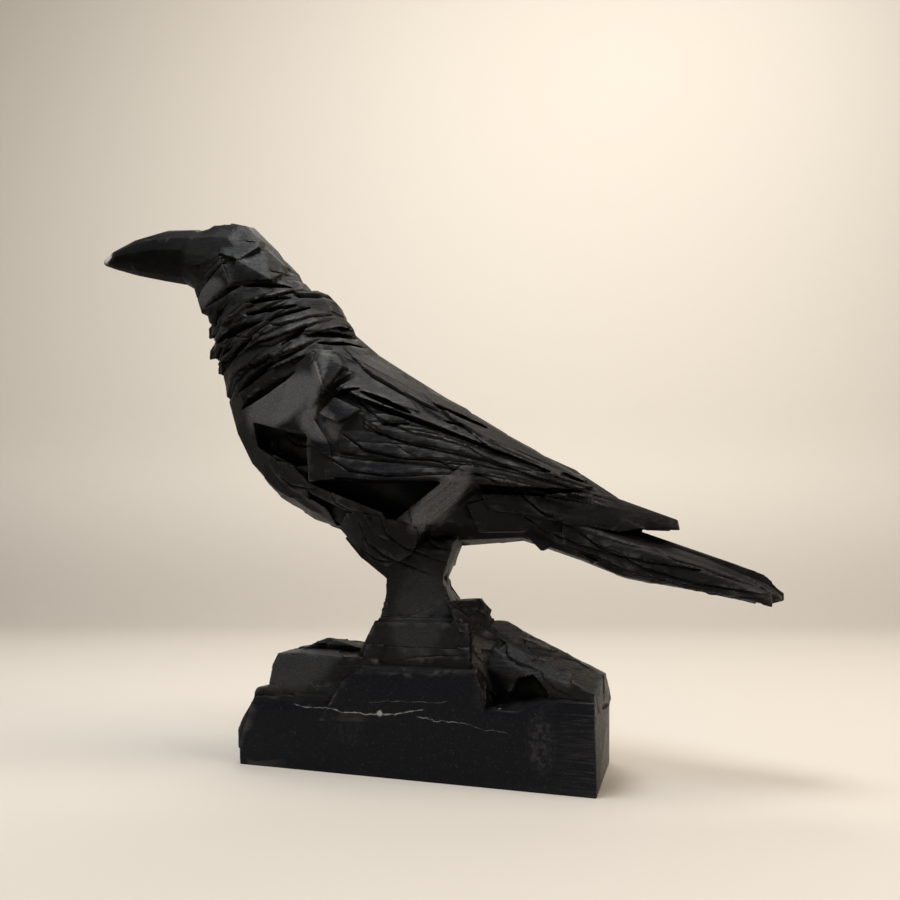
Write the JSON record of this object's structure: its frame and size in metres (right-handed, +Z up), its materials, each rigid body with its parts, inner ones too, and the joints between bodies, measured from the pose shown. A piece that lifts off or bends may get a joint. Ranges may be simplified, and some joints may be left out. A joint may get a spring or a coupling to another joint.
{
  "type": "stone crow statue",
  "caption": "Rough-hewn black stone statue of a standing crow on a rough rock base, bird and base carved from one block.",
  "frame": {"origin": "centre of the base's flat underside", "axes": "+Z up, beak towards -X, tail towards +X, the bird's left side and the sawn front of the base towards -Y"},
  "size_m": [0.5011, 0.0864, 0.388],
  "materials": {
    "black_stone": "hewn, satin to matt"
  },
  "bodies": {
    "root": {"crow_statue": "black_stone"}
  },
  "joints": []
}
